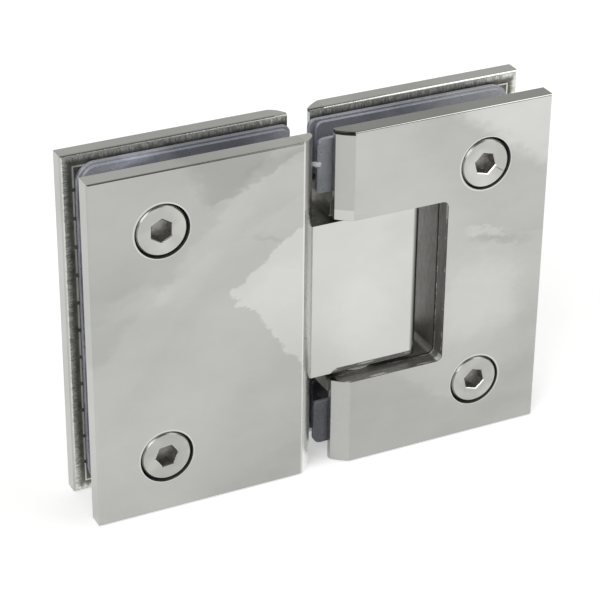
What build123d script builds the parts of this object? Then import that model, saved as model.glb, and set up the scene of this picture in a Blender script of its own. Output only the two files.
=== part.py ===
# Glass-to-glass shower door hinge, 180 degrees, for 8 mm panes.
# Left of the gap: the fixed half, two full plates that clamp a pane and carry the pivot block.
# Right of the gap: the door half, two C-shaped plates that reach round the block and hold the pin.
# Frame: X to the right, Y to the back, Z up. The origin is under the middle of the hinge.
# The pin axis stands upright at X = PIN_X, Y = 0. All sizes are in millimetres.
import math
import os

from build123d import *

# ---- plates -------------------------------------------------------------------------
PLATE_W = 57.0        # width of each plate
PLATE_H = 90.0        # height of each plate
PLATE_T = 4.4         # thickness of each plate
SEAM = 6.0            # gap between the two halves
GLASS_GAP = 12.0      # gap between front and rear plates
GLASS_T = 8.0         # pane thickness that the gaskets are cut for
EDGE_R = 0.45         # rounding of the polished outer edges
INNER_EDGE_R = 0.7    # polishing wears the rear plates' inner edges round
BEVEL_D = 2.95        # depth of the bevel beside the seam
FIXED_BEVEL_W = 3.3   # width of that bevel on the fixed plates
DOOR_BEVEL_W = 4.0    # width of that bevel on the door plates
BEVEL_BULGE = 0.22    # the bevels are slightly convex
REAR_BULGE = 0.45      # the fixed rear plate is rounder there

X_SEAM = SEAM / 2
X_OUT = X_SEAM + PLATE_W
Y_IN = GLASS_GAP / 2
Y_OUT = Y_IN + PLATE_T

# ---- clamp screws -------------------------------------------------------------------
SCREW_X = 42.2        # distance of the clamp screws from the middle
SCREW_Z = (15.0, 75.0)
HEAD_R = 6.35
HEAD_H = 5.0
HEAD_CHAMFER = 0.4
CBORE_R = 6.85
CBORE_D = 5.05
# each counterbore was drilled a little off the thread behind it: (side, height): (X, Z)
CBORE_DRIFT = {
    (-1, 15.0): (0.02, -0.15),
    (-1, 75.0): (0.12, -0.10),
    (1, 15.0): (-0.10, -0.12),
    (1, 75.0): (0.12, 0.10),
}
SHANK_R = 4.0
SHANK_L = 14.0
HEX_AF = 5.0
HEX_DEPTH = 3.0
HEX_LEAD_IN = 0.2
FRONT_BOSS_R = 8.5
FRONT_BOSS_H = 3.2
REAR_BOSS_R = 6.8
REAR_BOSS_H = 5.0

# ---- grip pad and gaskets -----------------------------------------------------------
PAD_INSET = 2.8
PAD_H = 0.3
PAD_NOTCH_PITCH = 7.3
PAD_NOTCH_W = 1.0
PAD_NOTCH_L = 2.6
GASKET_INSET = 3.3       # from the plate's far side
GASKET_Z_INSET = 2.2     # from its top and bottom
FRONT_Z_INSET = 3.5      # the front gaskets are cut shorter
FRONT_LIFT = 1.0         # and were stuck on a little high
GASKET_T = 1.2
SHIM_T = 1.0
SHIM_STEP = 0.5
SHIM_SEAM_STEP = 1.3
GASKET_R = 4.8           # corners on the far side
GASKET_SEAM_R = 2.0      # corners beside the seam
GASKET_NOTCH_R = 0.9
GASKET_EDGE = 0.15
DOOR_GASKET_REACH = 3.8   # the front door gasket stands out into the seam
REAR_GASKET_REACH = 1.0   # the rear one stands out a little behind it

# ---- door cut-out and its rim -------------------------------------------------------
CUT_X = 32.45
CUT_Z = (22.9, 67.1)
CUT_R = 1.6
RIM_X = 36.0
RIM_T = 5.9
RIM_START = 2.6
RIM_TOP_Y = -5.9
RIM_CHAMFER = 2.3
RIM_GROOVE = 0.5          # step round the rim's mouth, a dark line beside the plate

# ---- pivot block --------------------------------------------------------------------
PIN_X = 12.0
BLOCK_X = (-2.4, 27.0)
BLOCK_Y = 6.5
BLOCK_Z = (24.3, 65.7)
BLOCK_CORNER_R = 1.4
TONGUE_X = -24.0
TONGUE_Y = (-5.9, Y_IN)
TONGUE_Z = (25.5, 64.5)

# ---- pin, bushes, washers -----------------------------------------------------------
PIN_R = 4.0
PIN_Z = (17.3, 72.7)
PIN_END_HALF = 3.2    # half width across the flats at the pin ends
PIN_CAM_HALF = 3.6    # half width across the four holding flats
PIN_CAM_Z = (35.5, 54.5)
RUNNING = 0.04
BUSH_R = 5.0
BUSH_L = 8.0
PIN_BORE_R = 4.3
WASHER_R = 5.5
WASHER_HOLE_R = 4.3
WASHER_T = 1.35

# ---- detent -------------------------------------------------------------------------
POCKET_Z = (36.0, 54.0)
POCKET_HALF = 3.6
SLIDE_HALF = 3.55
FOLLOWER_LEFT = -1.0
FOLLOWER_CLEAR = 0.05
SPRING_Z = (40.5, 49.5)
SPRING_R = 2.5
SPRING_WIRE_R = 0.55
SPRING_TURNS = 6.5
SPRING_SEAT_X = 4.0
SPRING_SEAT_R = 3.35
CAP_X = (-23.6, -18.0)
CAP_PIN_X = -20.8
CAP_PIN_R = 1.5

# ---- small screws -------------------------------------------------------------------
BLOCK_SCREW_X = -13.0
BLOCK_SCREW_Z = (30.6, 59.4)
BLOCK_SCREW_R = 2.5
BLOCK_SCREW_HEAD_R = 4.6
BLOCK_SCREW_END_Y = 9.2
KEEPER_X = (4.6, 19.4)
KEEPER_T = 1.9
KEEPER_SCREW_X = (7.1, 16.9)
KEEPER_SCREW_R = 1.25
KEEPER_SCREW_HEAD_R = 2.35
KEEPER_SCREW_L = 8.0
THREAD_GAP = 0.02


def box(x, y, z):
    """A box between two limits on each axis."""
    centre = ((x[0] + x[1]) / 2, (y[0] + y[1]) / 2, (z[0] + z[1]) / 2)
    return Pos(*centre) * Box(abs(x[1] - x[0]), abs(y[1] - y[0]), abs(z[1] - z[0]))


def rod_y(x, z, y0, y1, radius):
    """A cylinder along Y."""
    return Pos(x, (y0 + y1) / 2, z) * Rot(90, 0, 0) * Cylinder(radius, abs(y1 - y0))


def rod_z(x, y, z0, z1, radius):
    """A cylinder along Z."""
    return Pos(x, y, (z0 + z1) / 2) * Cylinder(radius, abs(z1 - z0))


def cone_y(x, z, y0, y1, r0, r1):
    """A cone along Y with radius r0 at y0 and r1 at y1, for y0 below y1."""
    return Pos(x, (y0 + y1) / 2, z) * Rot(-90, 0, 0) * Cone(r0, r1, y1 - y0)


def slab_xz(outline, y0, y1):
    """Extrude a sketch drawn in X and Z from y0 to y1, for y0 below y1."""
    return extrude(Plane.XZ.offset(-y0) * outline, amount=-(y1 - y0))


def sheet(x0, x1, z0, z1, corner_r):
    """A rectangle in X and Z with rounded corners."""
    shape = RectangleRounded(x1 - x0, z1 - z0, corner_r)
    return Pos((x0 + x1) / 2, (z0 + z1) / 2) * shape


def plain_plate(side, bevel_w, bulge=BEVEL_BULGE, inner_r=0):
    """A plate in the front position, its bevel beside the seam. side is -1 or 1."""
    seam_x = side * X_SEAM
    flat_x = side * (X_SEAM + bevel_w)
    outer_x = side * X_OUT
    inner = (seam_x, -Y_IN)
    step = (seam_x, -Y_OUT + BEVEL_D)
    flat = (flat_x, -Y_OUT)
    run = math.hypot(flat[0] - step[0], flat[1] - step[1])
    out = (side * (step[1] - flat[1]) / run, (flat[0] - step[0]) * side / run)
    middle = (
        (step[0] + flat[0]) / 2 - out[0] * bulge,
        (step[1] + flat[1]) / 2 - out[1] * bulge,
    )
    edges = [
        Line(inner, step),
        ThreePointArc(step, middle, flat),
        Line(flat, (outer_x, -Y_OUT)),
        Line((outer_x, -Y_OUT), (outer_x, -Y_IN)),
        Line((outer_x, -Y_IN), inner),
    ]
    plate = extrude(make_face(Wire(edges)), amount=PLATE_H, dir=(0, 0, 1))
    if inner_r:
        back_edges = plate.edges().filter_by_position(Axis.Y, -Y_IN, -Y_IN)
        worn = [e for e in back_edges if abs(e.center().X - seam_x) > 0.01]
        plate = fillet(worn, inner_r)
    face_edges = plate.edges().filter_by_position(Axis.Y, -Y_OUT, -Y_OUT)
    bevel_ends = [
        e
        for e in plate.edges().filter_by(GeomType.CIRCLE)
        if abs(e.center().X - (seam_x + flat_x) / 2) < 1 and e.center().Y < -Y_IN - 1
    ]
    return fillet(face_edges + bevel_ends, EDGE_R)


def grip_pad(side, void_x, void_z):
    """The raised pad on an inner face, notched round its border, at Y from 0 to PAD_H."""
    x0 = X_SEAM + 0.6
    x1 = X_OUT - PAD_INSET
    z0 = PAD_INSET
    z1 = PLATE_H - PAD_INSET
    pad = box((x0, x1), (0, PAD_H), (z0, z1))
    cuts = [box((0, void_x), (-1, 1), void_z)]
    count = int((x1 - x0) / PAD_NOTCH_PITCH)
    for i in range(count):
        x = x1 - (i + 0.75) * PAD_NOTCH_PITCH
        span = (x - PAD_NOTCH_W / 2, x + PAD_NOTCH_W / 2)
        cuts.append(box(span, (-1, 1), (z0 - 1, z0 + PAD_NOTCH_L)))
        cuts.append(box(span, (-1, 1), (z1 - PAD_NOTCH_L, z1 + 1)))
    count = int((z1 - z0) / PAD_NOTCH_PITCH)
    for i in range(count):
        z = z0 + (i + 0.75) * PAD_NOTCH_PITCH
        span = (z - PAD_NOTCH_W / 2, z + PAD_NOTCH_W / 2)
        cuts.append(box((x1 - PAD_NOTCH_L, x1 + 1), (-1, 1), span))
    pad = pad - cuts
    if side < 0:
        pad = mirror(pad, Plane.YZ)
    return pad


def front_features(plate, side, pad):
    """Add the pad and bosses behind a front plate and sink the screw seats into it."""
    x = side * SCREW_X
    plate = plate + Pos(0, -Y_IN, 0) * pad
    for z in SCREW_Z:
        plate = plate + rod_y(x, z, -Y_IN - 1, -Y_IN + FRONT_BOSS_H, FRONT_BOSS_R)
    for z in SCREW_Z:
        dx, dz = CBORE_DRIFT[(side, z)]
        plate = plate - rod_y(x + dx, z + dz, -Y_OUT - 1, -Y_OUT + CBORE_D, CBORE_R)
        plate = plate - rod_y(x, z, -Y_OUT, 0, SHANK_R + 0.25)
    return plate


def rear_features(plate, side, pad):
    """Add the pad and the blind threaded bosses to a rear plate."""
    x = side * SCREW_X
    plate = plate + mirror(Pos(0, -Y_IN, 0) * pad, Plane.XZ)
    for z in SCREW_Z:
        plate = plate + rod_y(x, z, Y_IN - REAR_BOSS_H, Y_IN + 1, REAR_BOSS_R)
    for z in SCREW_Z:
        end = -Y_OUT + CBORE_D + SHANK_L + 0.4
        plate = plate - rod_y(x, z, 0, end, SHANK_R + THREAD_GAP)
    return plate


def cutout(y0, y1, wider=0):
    """The opening of the C, rounded in its two inner corners."""
    block = box((0, CUT_X + wider), (y0, y1), (CUT_Z[0] - wider, CUT_Z[1] + wider))
    corner = [e for e in block.edges().filter_by(Axis.Y) if e.center().X > 1]
    return fillet(corner, CUT_R + wider)


def rim():
    """The U-shaped wall on the rear door plate that closes the pane's notch."""
    y = (RIM_TOP_Y, Y_IN + 1)
    outer = box((RIM_START, RIM_X), y, (CUT_Z[0] - RIM_T, CUT_Z[1] + RIM_T))
    ends = [e for e in outer.edges().filter_by(Axis.Y) if e.center().X < RIM_START + 1]
    outer = chamfer(ends, RIM_CHAMFER)
    wall = outer - cutout(-Y_OUT - 1, Y_OUT + 1)
    wall = wall - cutout(RIM_TOP_Y - 1, RIM_TOP_Y + RIM_GROOVE, RIM_GROOVE)
    for z in CUT_Z:
        away = 1 if z > PLATE_H / 2 else -1
        bar = (z - away, z + away * (RIM_T + 1))
        zs = (min(bar), max(bar))
        wall = wall - box(
            (PIN_X - PIN_END_HALF - THREAD_GAP, PIN_X + PIN_END_HALF + THREAD_GAP),
            (RIM_TOP_Y - 1, PIN_R),
            zs,
        )
        wall = wall - box(KEEPER_X, (RIM_TOP_Y - 1, RIM_TOP_Y + KEEPER_T), zs)
        for x in KEEPER_SCREW_X:
            mid = z + away * RIM_T / 2
            end = RIM_TOP_Y + KEEPER_SCREW_L + 0.3
            wall = wall - rod_y(x, mid, RIM_TOP_Y - 1, end, KEEPER_SCREW_R + THREAD_GAP)
    return wall


def fixed_front_plate():
    pad = grip_pad(-1, -TONGUE_X + 2, (TONGUE_Z[0] - 2, TONGUE_Z[1] + 2))
    return front_features(plain_plate(-1, FIXED_BEVEL_W), -1, pad)


def fixed_rear_plate():
    pad = grip_pad(-1, -TONGUE_X + 2, (TONGUE_Z[0] - 2, TONGUE_Z[1] + 2))
    plain = plain_plate(-1, FIXED_BEVEL_W, REAR_BULGE, INNER_EDGE_R)
    plate = rear_features(mirror(plain, Plane.XZ), -1, pad)
    for z in BLOCK_SCREW_Z:
        radius = BLOCK_SCREW_R + THREAD_GAP
        plate = plate - rod_y(BLOCK_SCREW_X, z, 0, BLOCK_SCREW_END_Y + 0.2, radius)
    return plate


def door_front_plate():
    pad = grip_pad(1, RIM_X + 1, (CUT_Z[0] - RIM_T - 1, CUT_Z[1] + RIM_T + 1))
    plate = plain_plate(1, DOOR_BEVEL_W) - cutout(-Y_OUT - 1, 0)
    plate = front_features(plate, 1, pad)
    rim_room = (CUT_Z[0] - RIM_T - 0.3, CUT_Z[1] + RIM_T + 0.3)
    return plate - box((0, RIM_X + 0.3), (-Y_IN, 0), rim_room)


def door_rear_plate():
    pad = grip_pad(1, RIM_X + 1, (CUT_Z[0] - RIM_T - 1, CUT_Z[1] + RIM_T + 1))
    plain = plain_plate(1, DOOR_BEVEL_W, BEVEL_BULGE, INNER_EDGE_R)
    plate = mirror(plain, Plane.XZ) - cutout(0, Y_OUT + 1)
    return rear_features(plate, 1, pad) + rim()


def gasket(side, y0, thick, shrink, reach, notch, hole_r):
    """A C-shaped sheet between a plate and the pane, notched round the pivot parts."""
    x0 = X_SEAM - reach
    x1 = X_OUT - GASKET_INSET - shrink
    z0 = (FRONT_Z_INSET if y0 < 0 else GASKET_Z_INSET) + shrink
    z1 = PLATE_H - z0
    lift = FRONT_LIFT if y0 < 0 else 0
    sheet_face = Pos((x0 + x1) / 2, PLATE_H / 2 + lift) * Rectangle(x1 - x0, z1 - z0)
    far = [v for v in sheet_face.vertices() if v.X > x1 - 0.1]
    sheet_face = fillet(far, GASKET_R - shrink)
    near = [v for v in sheet_face.vertices() if v.X < x0 + 0.1]
    sheet_face = fillet(near, GASKET_SEAM_R)
    depth, low, high = notch
    shape = sheet_face - sheet(x0 - 10, depth, low, high, 2.0)
    mouth = [
        v
        for v in shape.vertices()
        if v.X < x0 + 0.1 and (abs(v.Y - low) < 0.01 or abs(v.Y - high) < 0.01)
    ]
    shape = fillet(mouth, GASKET_NOTCH_R)
    for z in SCREW_Z:
        shape = shape - Pos(SCREW_X, z) * Circle(hole_r)
    part = slab_xz(shape, y0, y0 + thick)
    rims = [
        e
        for e in part.edges()
        if (abs(e.center().Y - y0) < 0.01 or abs(e.center().Y - y0 - thick) < 0.01)
        and (e.geom_type != GeomType.CIRCLE or e.radius < hole_r - 0.01)
    ]
    part = chamfer(rims, GASKET_EDGE)
    if side < 0:
        part = mirror(part, Plane.YZ)
    return part


FIXED_NOTCH = (-TONGUE_X + 3, TONGUE_Z[0] - 3, TONGUE_Z[1] + 3)
DOOR_NOTCH = (RIM_X + 1, CUT_Z[0] - RIM_T - 0.6, CUT_Z[1] + RIM_T + 0.6)
PAD_Y = Y_IN - PAD_H


def clamp_screw(side, z, turn):
    """Low-head cap screw with a hexagon socket, its head flush with the front plate."""
    x = side * SCREW_X
    seat = -Y_OUT + CBORE_D
    head = rod_y(x, z, seat - HEAD_H, seat, HEAD_R)
    rim_edge = head.edges().filter_by_position(Axis.Y, seat - HEAD_H, seat - HEAD_H)
    head = chamfer(rim_edge, HEAD_CHAMFER)
    screw = head + rod_y(x, z, seat - 0.5, seat + SHANK_L, SHANK_R)
    key = Rot(0, 0, turn) * RegularPolygon(HEX_AF / 2, 6, major_radius=False)
    top = seat - HEAD_H
    screw = screw - slab_xz(Pos(x, z) * key, top - 1, top + HEX_DEPTH)
    mouth = screw.edges().filter_by(GeomType.LINE).filter_by_position(Axis.Y, top, top)
    return chamfer(mouth, HEX_LEAD_IN)


def clamp_screws(side, turns):
    screws = [clamp_screw(side, z, turn) for z, turn in zip(SCREW_Z, turns)]
    return Compound(children=screws)


def pivot_block():
    """Polished block with a tongue that lies between the fixed plates."""
    block = box(BLOCK_X, (-BLOCK_Y, BLOCK_Y), BLOCK_Z)
    upright = block.edges().filter_by(Axis.Z)
    block = fillet([e for e in upright if e.center().X > PIN_X], BLOCK_CORNER_R)
    upright = block.edges().filter_by(Axis.Z)
    block = chamfer([e for e in upright if e.center().X < PIN_X - 10], 0.3)
    block = block + box((TONGUE_X, BLOCK_X[0] + 1), TONGUE_Y, TONGUE_Z)
    block = block - rod_z(PIN_X, 0, BLOCK_Z[0] - 1, BLOCK_Z[1] + 1, PIN_BORE_R)
    block = block - rod_z(PIN_X, 0, BLOCK_Z[0] - 1, BLOCK_Z[0] + BUSH_L, BUSH_R)
    block = block - rod_z(PIN_X, 0, BLOCK_Z[1] - BUSH_L, BLOCK_Z[1] + 1, BUSH_R)
    pocket = box((TONGUE_X - 1, PIN_X - 3), (-POCKET_HALF, POCKET_HALF), POCKET_Z)
    block = block - pocket
    mid_z = sum(POCKET_Z) / 2
    block = block - rod_y(CAP_PIN_X, mid_z, -10, 10, CAP_PIN_R + THREAD_GAP)
    for z in BLOCK_SCREW_Z:
        radius = BLOCK_SCREW_R + 0.2
        block = block - rod_y(BLOCK_SCREW_X, z, -10, 10, radius)
        sink = BLOCK_SCREW_HEAD_R - BLOCK_SCREW_R + 0.05
        y = TONGUE_Y[0]
        head = cone_y(BLOCK_SCREW_X, z, y, y + sink, BLOCK_SCREW_HEAD_R + 0.05, BLOCK_SCREW_R)
        block = block - head
    return block


def countersunk(x, z, y0, y1, radius, head_r, key):
    """Countersunk screw along Y, its head at y0, with a hexagon socket of width key."""
    sink = head_r - radius
    screw = cone_y(x, z, y0, y0 + sink, head_r, radius) + rod_y(x, z, y0 + 0.2, y1, radius)
    socket = Pos(x, z) * RegularPolygon(key / 2, 6, major_radius=False)
    return screw - slab_xz(socket, y0 - 1, y0 + sink * 0.8)


def block_screws():
    y0 = TONGUE_Y[0]
    y1 = BLOCK_SCREW_END_Y
    r = BLOCK_SCREW_R
    head = BLOCK_SCREW_HEAD_R
    screws = [countersunk(BLOCK_SCREW_X, z, y0, y1, r, head, 3.0) for z in BLOCK_SCREW_Z]
    return Compound(children=screws)


def bar_middle(z):
    """Middle height of the rim's bar beside a cut-out limit."""
    return z + (RIM_T / 2 if z > PLATE_H / 2 else -RIM_T / 2)


def pin_keeper(z):
    """Flat bar screwed over a pin end, in a recess of the rim."""
    mid = bar_middle(z)
    y = (RIM_TOP_Y, RIM_TOP_Y + KEEPER_T)
    xs = (KEEPER_X[0] + 0.05, KEEPER_X[1] - 0.05)
    bar = box(xs, y, (mid - RIM_T / 2 + 0.1, mid + RIM_T / 2 - 0.1))
    sink = KEEPER_SCREW_HEAD_R - KEEPER_SCREW_R
    for x in KEEPER_SCREW_X:
        bar = bar - rod_y(x, mid, -10, 0, KEEPER_SCREW_R + 0.1)
        wide = KEEPER_SCREW_HEAD_R + 0.03
        bar = bar - cone_y(x, mid, y[0], y[0] + sink + 0.03, wide, KEEPER_SCREW_R)
    return bar


def keeper_screws():
    screws = []
    for z in CUT_Z:
        for x in KEEPER_SCREW_X:
            screws.append(
                countersunk(
                    x,
                    bar_middle(z),
                    RIM_TOP_Y,
                    RIM_TOP_Y + KEEPER_SCREW_L,
                    KEEPER_SCREW_R,
                    KEEPER_SCREW_HEAD_R,
                    1.5,
                )
            )
    return Compound(children=screws)


def hinge_pin():
    """Pin with four holding flats in the middle and two driving flats at each end."""
    pin = rod_z(PIN_X, 0, PIN_Z[0], PIN_Z[1], PIN_R)
    ends = pin.edges().filter_by(GeomType.CIRCLE)
    pin = chamfer(ends, 0.4)
    reach = PIN_R + 1
    for turn in range(4):
        slab = box((PIN_CAM_HALF, reach), (-reach, reach), PIN_CAM_Z)
        pin = pin - Pos(PIN_X, 0, 0) * Rot(0, 0, 90 * turn) * slab
    for z0, z1 in ((PIN_Z[0] - 1, CUT_Z[0] + 0.2), (CUT_Z[1] - 0.2, PIN_Z[1] + 1)):
        for turn in range(2):
            slab = box((PIN_END_HALF, reach), (-reach, reach), (z0, z1))
            pin = pin - Pos(PIN_X, 0, 0) * Rot(0, 0, 180 * turn) * slab
    return pin


def ring_z(z0, z1, outer, inner):
    """A ring round the pin axis."""
    return rod_z(PIN_X, 0, z0, z1, outer) - rod_z(PIN_X, 0, z0 - 1, z1 + 1, inner)


def detent_follower():
    """Flat-faced slide that the springs press towards the pin's flats."""
    face = PIN_X - PIN_R - FOLLOWER_CLEAR
    zs = (POCKET_Z[0], POCKET_Z[1] - 0.1)
    slide = box((FOLLOWER_LEFT, face), (-SLIDE_HALF, SLIDE_HALF), zs)
    for z in SPRING_Z:
        seat = Pos((FOLLOWER_LEFT - 1 + SPRING_SEAT_X) / 2, 0, z) * Rot(0, 90, 0)
        slide = slide - seat * Cylinder(SPRING_SEAT_R, SPRING_SEAT_X - FOLLOWER_LEFT + 1)
    return slide


def detent_spring(z):
    """Compression spring along X with ground ends."""
    length = SPRING_SEAT_X - CAP_X[1]
    pitch = (length + 2 * SPRING_WIRE_R) / SPRING_TURNS
    path = Helix(pitch=pitch, height=length + 2 * SPRING_WIRE_R, radius=SPRING_R)
    section = Plane(origin=path @ 0, z_dir=path % 0) * Circle(SPRING_WIRE_R)
    coil = sweep(section, path=path, is_frenet=True)
    coil = Pos(CAP_X[1] - SPRING_WIRE_R, 0, z) * Rot(0, 90, 0) * coil
    return coil & box((CAP_X[1], SPRING_SEAT_X), (-5, 5), (z - 5, z + 5))


def spring_cap():
    """Block that closes the spring pocket."""
    mid_z = sum(POCKET_Z) / 2
    zs = (POCKET_Z[0], POCKET_Z[1] - 0.1)
    cap = box(CAP_X, (-SLIDE_HALF, SLIDE_HALF), zs)
    return cap - rod_y(CAP_PIN_X, mid_z, -10, 10, CAP_PIN_R + THREAD_GAP)


def cap_pin():
    mid_z = sum(POCKET_Z) / 2
    pin = rod_y(CAP_PIN_X, mid_z, TONGUE_Y[0] + 0.1, TONGUE_Y[1] - 0.1, CAP_PIN_R)
    return chamfer(pin.edges().filter_by(GeomType.CIRCLE), 0.3)


NODES = {
    "fixed_front_plate": fixed_front_plate(),
    "fixed_rear_plate": fixed_rear_plate(),
    "fixed_front_gasket": gasket(-1, -PAD_Y, GASKET_T, 0, 0, FIXED_NOTCH, 9.2),
    "fixed_rear_gasket": gasket(-1, PAD_Y - GASKET_T, GASKET_T, 0, 0.1, FIXED_NOTCH, 7.6),
    "fixed_shim_gasket": gasket(
        -1, PAD_Y - GASKET_T - SHIM_T, SHIM_T, SHIM_STEP, -SHIM_STEP, FIXED_NOTCH, 7.6
    ),
    "fixed_clamp_screws": clamp_screws(-1, (6, 28)),
    "pivot_block": pivot_block(),
    "block_screws": block_screws(),
    "upper_bush": ring_z(BLOCK_Z[1] - BUSH_L, BLOCK_Z[1], BUSH_R, PIN_R + RUNNING),
    "lower_bush": ring_z(BLOCK_Z[0], BLOCK_Z[0] + BUSH_L, BUSH_R, PIN_R + RUNNING),
    "upper_washer": ring_z(BLOCK_Z[1], BLOCK_Z[1] + WASHER_T, WASHER_R, WASHER_HOLE_R),
    "lower_washer": ring_z(BLOCK_Z[0] - WASHER_T, BLOCK_Z[0], WASHER_R, WASHER_HOLE_R),
    "detent_follower": detent_follower(),
    "lower_detent_spring": detent_spring(SPRING_Z[0]),
    "upper_detent_spring": detent_spring(SPRING_Z[1]),
    "spring_cap": spring_cap(),
    "cap_pin": cap_pin(),
    "door_front_plate": door_front_plate(),
    "door_rear_plate": door_rear_plate(),
    "door_front_gasket": gasket(
        1, -PAD_Y, GASKET_T, 0, DOOR_GASKET_REACH, DOOR_NOTCH, 9.2
    ),
    "door_rear_gasket": gasket(
        1, PAD_Y - GASKET_T, GASKET_T, 0, REAR_GASKET_REACH, DOOR_NOTCH, 7.6
    ),
    "door_shim_gasket": gasket(
        1,
        PAD_Y - GASKET_T - SHIM_T,
        SHIM_T,
        SHIM_STEP,
        REAR_GASKET_REACH - SHIM_SEAM_STEP,
        DOOR_NOTCH,
        7.6,
    ),
    "door_clamp_screws": clamp_screws(1, (43, -15)),
    "hinge_pin": hinge_pin(),
    "upper_pin_keeper": pin_keeper(CUT_Z[1]),
    "lower_pin_keeper": pin_keeper(CUT_Z[0]),
    "keeper_screws": keeper_screws(),
}

os.makedirs("parts", exist_ok=True)
for name, shape in NODES.items():
    export_step(shape, f"parts/{name}.step")
    size = shape.bounding_box().size
    print(f"{name}: {size.X:.2f} x {size.Y:.2f} x {size.Z:.2f}, {shape.volume:.1f} mm3")
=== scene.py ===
# %% [markdown]
# # A polished glass door hinge
# The hinge joins two panes of a shower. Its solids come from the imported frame, already in place
# and in metres. This lesson gives them their finishes, adds the small moulded detail that the
# solids leave out, and sets up a plain studio. Nothing that the frame brings in is moved or
# reshaped.

# %% Load the frame
import math
import bpy
import bmesh
from mathutils import Matrix, Vector


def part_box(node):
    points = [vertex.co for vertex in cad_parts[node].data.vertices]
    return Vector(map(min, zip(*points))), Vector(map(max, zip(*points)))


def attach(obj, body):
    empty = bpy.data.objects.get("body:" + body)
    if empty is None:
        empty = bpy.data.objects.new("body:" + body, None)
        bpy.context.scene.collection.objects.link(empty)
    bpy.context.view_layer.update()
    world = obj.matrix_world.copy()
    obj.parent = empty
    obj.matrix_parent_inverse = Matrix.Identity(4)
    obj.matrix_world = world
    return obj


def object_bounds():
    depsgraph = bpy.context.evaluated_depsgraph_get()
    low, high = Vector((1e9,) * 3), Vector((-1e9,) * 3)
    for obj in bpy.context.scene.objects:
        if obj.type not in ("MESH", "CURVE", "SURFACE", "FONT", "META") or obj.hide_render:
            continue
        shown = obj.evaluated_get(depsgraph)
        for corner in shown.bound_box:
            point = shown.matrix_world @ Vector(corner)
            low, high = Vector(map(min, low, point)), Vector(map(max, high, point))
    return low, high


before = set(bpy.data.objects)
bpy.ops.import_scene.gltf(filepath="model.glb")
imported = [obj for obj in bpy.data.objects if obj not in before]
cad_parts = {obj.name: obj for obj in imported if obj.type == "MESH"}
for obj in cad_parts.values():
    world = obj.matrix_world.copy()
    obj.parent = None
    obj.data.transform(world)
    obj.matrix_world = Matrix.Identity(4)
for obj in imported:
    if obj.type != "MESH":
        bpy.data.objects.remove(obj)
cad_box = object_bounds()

mm = 0.001
print("corners in mm:", [tuple(round(v / mm, 2) for v in corner) for corner in cad_box])

# %% [markdown]
# Every finish below is a node tree round one Principled shader. The first helper starts such a
# tree, with a Texture Coordinate node beside the shader. Patterns read its Object coordinates, so
# they stay with each piece when the door half swings. The second puts a finish in every slot of a
# node.

# %% Start a finish and put it on nodes
def start_finish(name):
    finish = bpy.data.materials.new(name)
    finish.use_nodes = True
    tree = finish.node_tree
    tree.nodes.clear()
    output = tree.nodes.new("ShaderNodeOutputMaterial")
    shader = tree.nodes.new("ShaderNodeBsdfPrincipled")
    tree.links.new(shader.outputs["BSDF"], output.inputs["Surface"])
    texture = tree.nodes.new("ShaderNodeTexCoord")
    return finish, tree, shader, texture


def finish_nodes(finish, *names):
    for name in names:
        for slot in bpy.data.objects[name].material_slots:
            slot.material = finish
    print(finish.name, "with", len(finish.node_tree.nodes), "shader nodes, on", ", ".join(names))


slots = sum(len(bpy.data.objects[name].material_slots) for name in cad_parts)
print("material slots to fill:", slots)

# %% [markdown]
# A finish is mostly sums on patterns. Each helper adds one node, sets it and gives back its
# output, so a later cell reads like a recipe. A plain number or colour is written on the socket
# itself, and only a pattern is wired to it.

# %% Wires and sums
def wire(tree, socket, value):
    if isinstance(value, (int, float)):
        socket.default_value = value
    elif isinstance(value, tuple):
        socket.default_value = value if len(value) == len(socket.default_value) else (*value, 1.0)
    else:
        tree.links.new(value, socket)


def sums(tree, operation, first, second=0.0):
    node = tree.nodes.new("ShaderNodeMath")
    node.operation = operation
    wire(tree, node.inputs[0], first)
    wire(tree, node.inputs[1], second)
    return node.outputs["Value"]


def total(tree, first, second):
    return sums(tree, "ADD", first, second)


def difference(tree, first, second):
    return sums(tree, "SUBTRACT", first, second)


def product(tree, first, second):
    return sums(tree, "MULTIPLY", first, second)


def absolute(tree, value):
    return sums(tree, "ABSOLUTE", value)


made = (wire, sums, total, difference, product, absolute)
print("helpers:", ", ".join(helper.__name__ for helper in made))

# %% [markdown]
# Noise is the raw material of every pattern here. Its scale counts waves to the metre, so 1500 is
# a grain of about two thirds of a millimetre. Most of what noise gives lies between 0.3 and 0.7,
# so spread stretches that middle over the whole range. A ramp does the same between any two
# values, with smooth ends, and a blend mixes two tones or two values by such a pattern.

# %% Noise, ramps and blends
def noise(tree, place, scale, detail=2.0, roughness=0.5, stretch=(1, 1, 1), output="Fac"):
    mapping = tree.nodes.new("ShaderNodeMapping")
    wire(tree, mapping.inputs["Scale"], stretch)
    wire(tree, mapping.inputs["Vector"], place)
    pattern = tree.nodes.new("ShaderNodeTexNoise")
    wire(tree, pattern.inputs["Scale"], scale)
    wire(tree, pattern.inputs["Detail"], detail)
    wire(tree, pattern.inputs["Roughness"], roughness)
    wire(tree, pattern.inputs["Vector"], mapping.outputs["Vector"])
    return pattern.outputs[output]


def ramp(tree, value, low, high, to_low=0.0, to_high=1.0):
    node = tree.nodes.new("ShaderNodeMapRange")
    node.interpolation_type = "SMOOTHSTEP"
    wire(tree, node.inputs["Value"], value)
    wire(tree, node.inputs["From Min"], low)
    wire(tree, node.inputs["From Max"], high)
    wire(tree, node.inputs["To Min"], to_low)
    wire(tree, node.inputs["To Max"], to_high)
    return node.outputs["Result"]


def spread(tree, pattern, to_low=0.0, to_high=1.0):
    return ramp(tree, pattern, 0.3, 0.7, to_low, to_high)


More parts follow.
